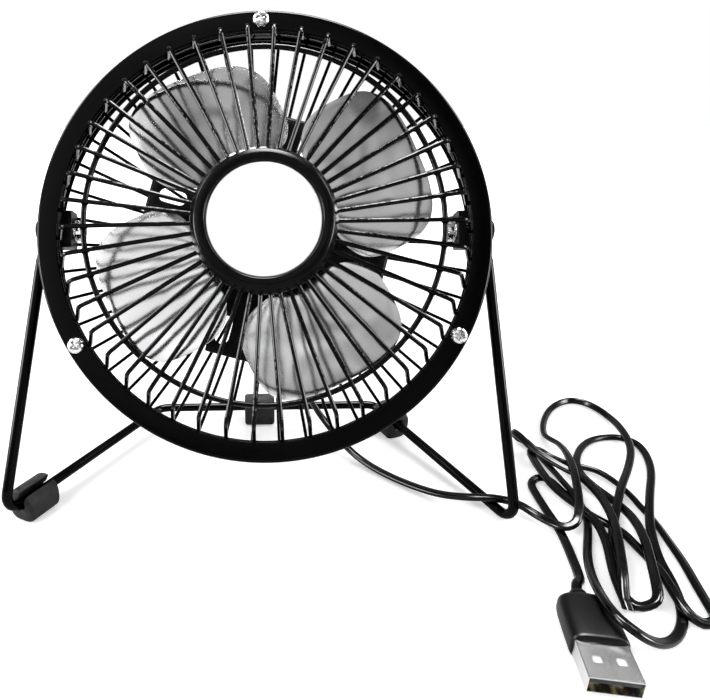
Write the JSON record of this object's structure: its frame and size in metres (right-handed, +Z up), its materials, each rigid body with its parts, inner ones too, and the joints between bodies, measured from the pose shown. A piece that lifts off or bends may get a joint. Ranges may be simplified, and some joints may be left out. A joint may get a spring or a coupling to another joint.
{
  "type": "desk fan",
  "caption": "Small metal desk fan in a round ring with wire grilles, tilting on a bent wire stand with rubber feet, with a rocker switch and a USB cord.",
  "frame": {"origin": "on the table surface under the middle of the fan without its cord", "axes": "+X to the fan's left as it faces you, along the tilt hinge; -Y the way the fan blows; +Z up"},
  "size_m": [0.2265, 0.151, 0.148],
  "materials": {
    "gloss_black": "glossy black paint",
    "bracket_black": "satin black paint",
    "housing_black": "satin black paint",
    "chrome_screw": "bright zinc and chrome plating",
    "cap_black": "glossy moulded plastic",
    "badge_white": "smooth white plastic",
    "zinc_steel": "zinc-plated steel",
    "motor_nylon": "natural nylon",
    "carbon": "pressed carbon",
    "ferrite": "sintered ferrite",
    "bronze": "sintered bronze",
    "ground_steel": "ground steel",
    "lamination": "stacked steel sheet",
    "blade_aluminium": "brushed sheet aluminium",
    "switch_black": "fine-textured moulded plastic",
    "grey_rubber": "matte dark grey rubber",
    "cord_black": "smooth soft black jacket",
    "plug_black": "soft moulded black rubber",
    "plug_steel": "nickel-plated steel",
    "gold_contact": "gold plating"
  },
  "bodies": {
    "stand": {"stand_wire": "gloss_black", "foot_clip_left": "grey_rubber", "foot_clip_rear": "grey_rubber", "foot_clip_right": "grey_rubber", "cord_run": "cord_black", "cord_hank": "cord_black", "cord_tail": "cord_black", "plug_grip": "plug_black", "plug_shell": "plug_steel", "plug_tongue": "badge_white", "plug_contacts": "gold_contact"},
    "head": {"front_bezel": "gloss_black", "bezel_hoop": "gloss_black", "bezel_screws": "chrome_screw", "front_grille": "gloss_black", "grille_cap": "cap_black", "cap_badge": "badge_white", "rear_grille": "gloss_black", "motor_bracket": "bracket_black", "motor_screws": "chrome_screw", "housing_screws": "chrome_screw", "motor_housing": "housing_black", "rear_cover": "housing_black", "cover_screws": "chrome_screw", "motor_can": "zinc_steel", "motor_end_bell": "motor_nylon", "motor_brushes": "carbon", "motor_magnets": "ferrite", "front_bush": "bronze", "rear_bush": "bronze", "switch_body": "switch_black", "switch_terminals": "bronze", "cord_gland": "grey_rubber", "hinge_bolts": "gloss_black", "hinge_spacers": "zinc_steel", "hinge_blocks": "bracket_black", "hinge_lock_washers": "chrome_screw", "hinge_nuts": "chrome_screw", "cord_drop": "cord_black"},
    "rotor": {"rotor_shaft": "ground_steel", "armature": "lamination", "commutator": "bronze", "blade_hub": "blade_aluminium", "blade_wheel": "blade_aluminium", "blade_retainer": "blade_aluminium"},
    "switch_key": {"rocker": "switch_black"}
  },
  "joints": [
    {"name": "head_tilt", "type": "hinge", "parent": "stand", "child": "head", "pos_m": [0.0015, -0.0016, 0.0872], "axis": [-1, 0, 0], "range_deg": [-65, 66]},
    {"name": "rotor_spin", "type": "hinge", "parent": "head", "child": "rotor", "pos_m": [0.0015, -0.017, 0.09066], "axis": [0, -0.9164, 0.4003], "continuous": true},
    {"name": "switch_rock", "type": "hinge", "parent": "head", "child": "switch_key", "pos_m": [0.0015, 0.02392, 0.07605], "axis": [0, -0.4003, -0.9164], "range_deg": [0, 16]}
  ]
}
